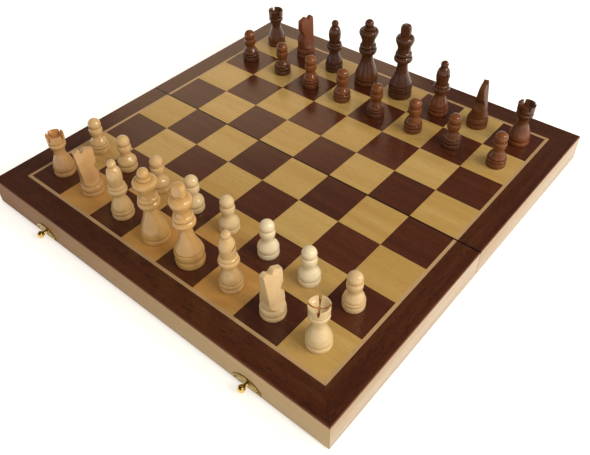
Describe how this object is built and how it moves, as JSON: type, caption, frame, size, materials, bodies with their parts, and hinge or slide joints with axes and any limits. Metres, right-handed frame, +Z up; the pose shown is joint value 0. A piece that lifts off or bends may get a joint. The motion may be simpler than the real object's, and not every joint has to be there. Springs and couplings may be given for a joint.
{
  "type": "chess box with hinged lid",
  "caption": "Folding wooden chess box opened flat as a playing board, with butt hinges, hook catches on ball studs, and its turned chessmen set up for a game.",
  "frame": {"origin": "middle of the open board, on the plane of the tray rims that it stands on", "axes": "+X along the ranks towards the h file, +Y from the white side to the black side, +Z up out of the playing face"},
  "size_m": [0.379, 0.3941, 0.1048],
  "materials": {
    "rail_wood": "satin",
    "border_veneer": "satin",
    "string_veneer": "satin",
    "dark_veneer": "satin",
    "light_veneer": "satin",
    "plywood": "matte",
    "felt": "matte",
    "brass": "satin",
    "light_men": "gloss",
    "dark_men": "gloss"
  },
  "bodies": {
    "back_half": {"back_border": "border_veneer", "back_dark_squares": "dark_veneer", "back_end_rail": "rail_wood", "back_hinge_leaves": "brass", "back_hinge_rail": "rail_wood", "back_light_squares": "light_veneer", "back_lining": "felt", "back_panel": "plywood", "back_side_rails": "rail_wood", "back_string": "string_veneer", "hinge_pins": "brass", "hook_plates": "brass", "hook_pivots": "brass"},
    "front_half": {"front_border": "border_veneer", "front_dark_squares": "dark_veneer", "front_end_rail": "rail_wood", "front_hinge_leaves": "brass", "front_hinge_rail": "rail_wood", "front_light_squares": "light_veneer", "front_lining": "felt", "front_panel": "plywood", "front_side_rails": "rail_wood", "front_string": "string_veneer", "stud_plates": "brass", "catch_studs": "brass"},
    "hook_left": {"hook_left": "brass"},
    "hook_right": {"hook_right": "brass"},
    "black_bishop_c8": {"black_bishop_c8": "dark_men"},
    "black_bishop_f8": {"black_bishop_f8": "dark_men"},
    "black_king_e8": {"black_king_e8": "dark_men"},
    "black_knight_b8": {"black_knight_b8": "dark_men"},
    "black_knight_g8": {"black_knight_g8": "dark_men"},
    "black_pawn_a7": {"black_pawn_a7": "dark_men"},
    "black_pawn_b7": {"black_pawn_b7": "dark_men"},
    "black_pawn_c7": {"black_pawn_c7": "dark_men"},
    "black_pawn_d7": {"black_pawn_d7": "dark_men"},
    "black_pawn_e7": {"black_pawn_e7": "dark_men"},
    "black_pawn_f7": {"black_pawn_f7": "dark_men"},
    "black_pawn_g7": {"black_pawn_g7": "dark_men"},
    "black_pawn_h7": {"black_pawn_h7": "dark_men"},
    "black_queen_d8": {"black_queen_d8": "dark_men"},
    "black_rook_a8": {"black_rook_a8": "dark_men"},
    "black_rook_h8": {"black_rook_h8": "dark_men"},
    "white_bishop_c1": {"white_bishop_c1": "light_men"},
    "white_bishop_f1": {"white_bishop_f1": "light_men"},
    "white_king_e1": {"white_king_e1": "light_men"},
    "white_knight_b1": {"white_knight_b1": "light_men"},
    "white_knight_g1": {"white_knight_g1": "light_men"},
    "white_pawn_a2": {"white_pawn_a2": "light_men"},
    "white_pawn_b2": {"white_pawn_b2": "light_men"},
    "white_pawn_c2": {"white_pawn_c2": "light_men"},
    "white_pawn_d2": {"white_pawn_d2": "light_men"},
    "white_pawn_e2": {"white_pawn_e2": "light_men"},
    "white_pawn_f2": {"white_pawn_f2": "light_men"},
    "white_pawn_g2": {"white_pawn_g2": "light_men"},
    "white_pawn_h2": {"white_pawn_h2": "light_men"},
    "white_queen_d1": {"white_queen_d1": "light_men"},
    "white_rook_a1": {"white_rook_a1": "light_men"},
    "white_rook_h1": {"white_rook_h1": "light_men"}
  },
  "joints": [
    {"name": "fold", "type": "hinge", "parent": "back_half", "child": "front_half", "pos_m": [0, 0, -0.0001], "axis": [1, 0, 0], "range_deg": [0, 180]},
    {"name": "hook_right_swing", "type": "hinge", "parent": "back_half", "child": "hook_right", "pos_m": [0.118, 0.191, 0.0075], "axis": [0, 1, 0], "range_deg": [0, 90]},
    {"name": "hook_left_swing", "type": "hinge", "parent": "back_half", "child": "hook_left", "pos_m": [-0.118, 0.191, 0.0075], "axis": [0, -1, 0], "range_deg": [0, 90]},
    {"name": "lift_black_bishop_c8", "type": "slide", "parent": "back_half", "child": "black_bishop_c8", "axis": [0, 0, 1], "range_m": [0, 0.1]},
    {"name": "lift_black_bishop_f8", "type": "slide", "parent": "back_half", "child": "black_bishop_f8", "axis": [0, 0, 1], "range_m": [0, 0.1]},
    {"name": "lift_black_king_e8", "type": "slide", "parent": "back_half", "child": "black_king_e8", "axis": [0, 0, 1], "range_m": [0, 0.1]},
    {"name": "lift_black_knight_b8", "type": "slide", "parent": "back_half", "child": "black_knight_b8", "axis": [0, 0, 1], "range_m": [0, 0.1]},
    {"name": "lift_black_knight_g8", "type": "slide", "parent": "back_half", "child": "black_knight_g8", "axis": [0, 0, 1], "range_m": [0, 0.1]},
    {"name": "lift_black_pawn_a7", "type": "slide", "parent": "back_half", "child": "black_pawn_a7", "axis": [0, 0, 1], "range_m": [0, 0.1]},
    {"name": "lift_black_pawn_b7", "type": "slide", "parent": "back_half", "child": "black_pawn_b7", "axis": [0, 0, 1], "range_m": [0, 0.1]},
    {"name": "lift_black_pawn_c7", "type": "slide", "parent": "back_half", "child": "black_pawn_c7", "axis": [0, 0, 1], "range_m": [0, 0.1]},
    {"name": "lift_black_pawn_d7", "type": "slide", "parent": "back_half", "child": "black_pawn_d7", "axis": [0, 0, 1], "range_m": [0, 0.1]},
    {"name": "lift_black_pawn_e7", "type": "slide", "parent": "back_half", "child": "black_pawn_e7", "axis": [0, 0, 1], "range_m": [0, 0.1]},
    {"name": "lift_black_pawn_f7", "type": "slide", "parent": "back_half", "child": "black_pawn_f7", "axis": [0, 0, 1], "range_m": [0, 0.1]},
    {"name": "lift_black_pawn_g7", "type": "slide", "parent": "back_half", "child": "black_pawn_g7", "axis": [0, 0, 1], "range_m": [0, 0.1]},
    {"name": "lift_black_pawn_h7", "type": "slide", "parent": "back_half", "child": "black_pawn_h7", "axis": [0, 0, 1], "range_m": [0, 0.1]},
    {"name": "lift_black_queen_d8", "type": "slide", "parent": "back_half", "child": "black_queen_d8", "axis": [0, 0, 1], "range_m": [0, 0.1]},
    {"name": "lift_black_rook_a8", "type": "slide", "parent": "back_half", "child": "black_rook_a8", "axis": [0, 0, 1], "range_m": [0, 0.1]},
    {"name": "lift_black_rook_h8", "type": "slide", "parent": "back_half", "child": "black_rook_h8", "axis": [0, 0, 1], "range_m": [0, 0.1]},
    {"name": "lift_white_bishop_c1", "type": "slide", "parent": "front_half", "child": "white_bishop_c1", "axis": [0, 0, 1], "range_m": [0, 0.1]},
    {"name": "lift_white_bishop_f1", "type": "slide", "parent": "front_half", "child": "white_bishop_f1", "axis": [0, 0, 1], "range_m": [0, 0.1]},
    {"name": "lift_white_king_e1", "type": "slide", "parent": "front_half", "child": "white_king_e1", "axis": [0, 0, 1], "range_m": [0, 0.1]},
    {"name": "lift_white_knight_b1", "type": "slide", "parent": "front_half", "child": "white_knight_b1", "axis": [0, 0, 1], "range_m": [0, 0.1]},
    {"name": "lift_white_knight_g1", "type": "slide", "parent": "front_half", "child": "white_knight_g1", "axis": [0, 0, 1], "range_m": [0, 0.1]},
    {"name": "lift_white_pawn_a2", "type": "slide", "parent": "front_half", "child": "white_pawn_a2", "axis": [0, 0, 1], "range_m": [0, 0.1]},
    {"name": "lift_white_pawn_b2", "type": "slide", "parent": "front_half", "child": "white_pawn_b2", "axis": [0, 0, 1], "range_m": [0, 0.1]},
    {"name": "lift_white_pawn_c2", "type": "slide", "parent": "front_half", "child": "white_pawn_c2", "axis": [0, 0, 1], "range_m": [0, 0.1]},
    {"name": "lift_white_pawn_d2", "type": "slide", "parent": "front_half", "child": "white_pawn_d2", "axis": [0, 0, 1], "range_m": [0, 0.1]},
    {"name": "lift_white_pawn_e2", "type": "slide", "parent": "front_half", "child": "white_pawn_e2", "axis": [0, 0, 1], "range_m": [0, 0.1]},
    {"name": "lift_white_pawn_f2", "type": "slide", "parent": "front_half", "child": "white_pawn_f2", "axis": [0, 0, 1], "range_m": [0, 0.1]},
    {"name": "lift_white_pawn_g2", "type": "slide", "parent": "front_half", "child": "white_pawn_g2", "axis": [0, 0, 1], "range_m": [0, 0.1]},
    {"name": "lift_white_pawn_h2", "type": "slide", "parent": "front_half", "child": "white_pawn_h2", "axis": [0, 0, 1], "range_m": [0, 0.1]},
    {"name": "lift_white_queen_d1", "type": "slide", "parent": "front_half", "child": "white_queen_d1", "axis": [0, 0, 1], "range_m": [0, 0.1]},
    {"name": "lift_white_rook_a1", "type": "slide", "parent": "front_half", "child": "white_rook_a1", "axis": [0, 0, 1], "range_m": [0, 0.1]},
    {"name": "lift_white_rook_h1", "type": "slide", "parent": "front_half", "child": "white_rook_h1", "axis": [0, 0, 1], "range_m": [0, 0.1]}
  ]
}
